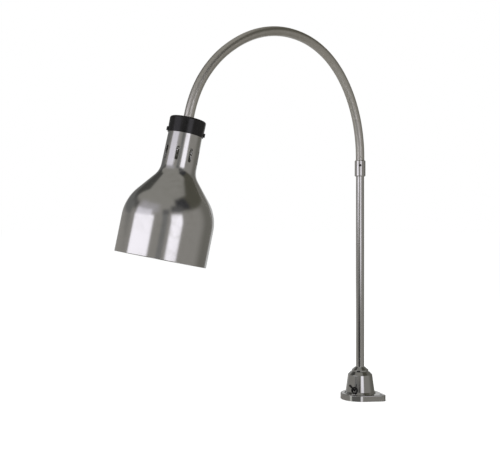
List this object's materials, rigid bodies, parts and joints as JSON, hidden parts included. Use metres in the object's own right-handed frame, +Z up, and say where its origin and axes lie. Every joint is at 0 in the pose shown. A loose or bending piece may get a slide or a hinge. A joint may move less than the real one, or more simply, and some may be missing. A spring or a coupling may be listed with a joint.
{
  "type": "heat lamp",
  "caption": "Counter-mounted infrared heat lamp: chrome base and post, bending steel arm, black cap and brushed bell shade over a reflector lamp.",
  "frame": {"origin": "centre of the base's bottom face, at the mouth of the supply inlet, on the post's axis", "axes": "+Z up along the post; the arm arches over towards -X; the flange's lug points nearly to -Y"},
  "size_m": [0.6094, 0.1528, 0.6927],
  "materials": {
    "cast_chrome": "polished chrome plate on a casting",
    "tube_chrome": "polished chrome plate on tube",
    "arm_steel": "satin wound steel",
    "shade_aluminium": "spun and brushed aluminium",
    "cap_plastic": "satin black moulding",
    "black_plastic": "satin black moulding",
    "dark_screw": "blackened steel",
    "screw_steel": "zinc-plated steel",
    "plate_steel": "zinc-plated sheet",
    "porcelain": "glazed porcelain",
    "brass": "nickel-free brass",
    "lamp_cap_metal": "rolled lamp cap",
    "lamp_glass": "frosted glass",
    "filament_wire": "wire on a glass stem",
    "sleeving": "woven heat-proof sleeving",
    "lead_insulation": "lead insulation",
    "neutral_insulation": "lead insulation",
    "wire_nut_plastic": "moulded twist-on cap"
  },
  "bodies": {
    "base": {"base_casting": "cast_chrome", "base_collar": "cast_chrome", "base_plate": "plate_steel", "base_plate_screws": "screw_steel", "inlet_bushing": "black_plastic", "wire_nuts": "wire_nut_plastic", "line_lead": "lead_insulation", "switched_lead": "lead_insulation", "neutral_lead": "neutral_insulation", "switch_body": "black_plastic", "switch_bushing": "screw_steel", "switch_bezel": "black_plastic", "post_tube": "tube_chrome", "post_washer": "screw_steel", "post_locknut": "screw_steel", "post_sleeve": "sleeving", "coupling": "tube_chrome", "coupling_screw": "screw_steel", "lower_ferrule": "tube_chrome"},
    "link_01": {"neck_link_01": "arm_steel", "lead_sleeve_01": "sleeving"},
    "link_02": {"neck_link_02": "arm_steel", "lead_sleeve_02": "sleeving"},
    "link_03": {"neck_link_03": "arm_steel", "lead_sleeve_03": "sleeving"},
    "link_04": {"neck_link_04": "arm_steel", "lead_sleeve_04": "sleeving"},
    "link_05": {"neck_link_05": "arm_steel", "lead_sleeve_05": "sleeving"},
    "link_06": {"neck_link_06": "arm_steel", "lead_sleeve_06": "sleeving"},
    "link_07": {"neck_link_07": "arm_steel", "lead_sleeve_07": "sleeving"},
    "link_08": {"neck_link_08": "arm_steel", "lead_sleeve_08": "sleeving"},
    "link_09": {"neck_link_09": "arm_steel", "lead_sleeve_09": "sleeving"},
    "link_10": {"neck_link_10": "arm_steel", "lead_sleeve_10": "sleeving"},
    "link_11": {"neck_link_11": "arm_steel", "lead_sleeve_11": "sleeving"},
    "link_12": {"neck_link_12": "arm_steel", "lead_sleeve_12": "sleeving"},
    "head": {"upper_ferrule": "tube_chrome", "head_sleeve": "sleeving", "cap": "cap_plastic", "cap_nut": "screw_steel", "cap_screws": "dark_screw", "head_bracket": "plate_steel", "socket_plate": "plate_steel", "holder_screws": "screw_steel", "lamp_holder": "porcelain", "screw_shell": "brass", "centre_contact": "brass", "head_leads": "lead_insulation", "shade": "shade_aluminium"},
    "lamp": {"lamp_base": "lamp_cap_metal", "lamp_glass": "lamp_glass", "lamp_filament": "filament_wire"},
    "lever": {"switch_lever": "black_plastic"}
  },
  "joints": [
    {"name": "arm_low_bend", "type": "hinge", "parent": "base", "child": "link_01", "pos_m": [0, 0, 0.475], "axis": [0, -1, 0], "range_deg": [-10, 5]},
    {"name": "arm_sway", "type": "hinge", "parent": "link_01", "child": "link_02", "pos_m": [-0.00707, -0.00042, 0.52868], "axis": [-0.9659, 0.002, -0.2588], "range_deg": [-9, 9]},
    {"name": "arm_low_bend_02", "type": "hinge", "parent": "link_02", "child": "link_03", "pos_m": [-0.02779, -0.00157, 0.57869], "axis": [0.0067, -0.9996, -0.0268], "range_deg": [-10, 5]},
    {"name": "arm_low_bend_03", "type": "hinge", "parent": "link_03", "child": "link_04", "pos_m": [-0.06074, -0.00318, 0.62162], "axis": [0.012, -0.9994, -0.0337], "range_deg": [-10, 5]},
    {"name": "arm_sway_02", "type": "hinge", "parent": "link_04", "child": "link_05", "pos_m": [-0.10369, -0.00495, 0.65455], "axis": [-0.5001, 0.0239, -0.8657], "range_deg": [-9, 9]},
    {"name": "arm_mid_bend", "type": "hinge", "parent": "link_05", "child": "link_06", "pos_m": [-0.1537, -0.00656, 0.67523], "axis": [0.0178, -0.9991, -0.0375], "range_deg": [-10, 5]},
    {"name": "arm_mid_bend_02", "type": "hinge", "parent": "link_06", "child": "link_07", "pos_m": [-0.2072, -0.00779, 0.68386], "axis": [0.016, -0.9992, -0.0372], "range_deg": [-10, 5]},
    {"name": "arm_sway_03", "type": "hinge", "parent": "link_07", "child": "link_08", "pos_m": [-0.26136, -0.00843, 0.68158], "axis": [0.1425, 0.0386, -0.989], "range_deg": [-9, 9]},
    {"name": "arm_mid_bend_03", "type": "hinge", "parent": "link_08", "child": "link_09", "pos_m": [-0.31396, -0.00828, 0.66847], "axis": [0.0024, -0.9992, -0.0396], "range_deg": [-10, 5]},
    {"name": "arm_top_bend", "type": "hinge", "parent": "link_09", "child": "link_10", "pos_m": [-0.36285, -0.00713, 0.64509], "axis": [-0.0086, -0.999, -0.0448], "range_deg": [-10, 5]},
    {"name": "arm_sway_04", "type": "hinge", "parent": "link_10", "child": "link_11", "pos_m": [-0.40602, -0.00487, 0.61239], "axis": [0.6818, 0.0253, -0.7311], "range_deg": [-9, 9]},
    {"name": "arm_top_bend_02", "type": "hinge", "parent": "link_11", "child": "link_12", "pos_m": [-0.43914, -0.00133, 0.5698], "axis": [-0.0328, -0.9971, -0.0693], "range_deg": [-10, 5]},
    {"name": "arm_top_bend_03", "type": "hinge", "parent": "link_12", "child": "head", "pos_m": [-0.45705, 0.0034, 0.51901], "axis": [-0.0403, -0.9951, -0.0906], "range_deg": [-10, 5]},
    {"name": "lamp_withdraw", "type": "slide", "parent": "head", "child": "lamp", "axis": [-0.1758, 0.0963, -0.9797], "range_m": [0, 0.03]},
    {"name": "switch_toggle", "type": "hinge", "parent": "base", "child": "lever", "pos_m": [-0.02603, -0.00601, 0.0196], "axis": [0.225, -0.9744, 0], "range_deg": [0, 52]}
  ],
  "couplings": [
    {"joint": "arm_low_bend_02", "follows": "arm_low_bend", "ratio": 1},
    {"joint": "arm_low_bend_03", "follows": "arm_low_bend", "ratio": 1},
    {"joint": "arm_sway_02", "follows": "arm_sway", "ratio": 1},
    {"joint": "arm_mid_bend_02", "follows": "arm_mid_bend", "ratio": 1},
    {"joint": "arm_sway_03", "follows": "arm_sway", "ratio": 1},
    {"joint": "arm_mid_bend_03", "follows": "arm_mid_bend", "ratio": 1},
    {"joint": "arm_sway_04", "follows": "arm_sway", "ratio": 1},
    {"joint": "arm_top_bend_02", "follows": "arm_top_bend", "ratio": 1},
    {"joint": "arm_top_bend_03", "follows": "arm_top_bend", "ratio": 1}
  ]
}
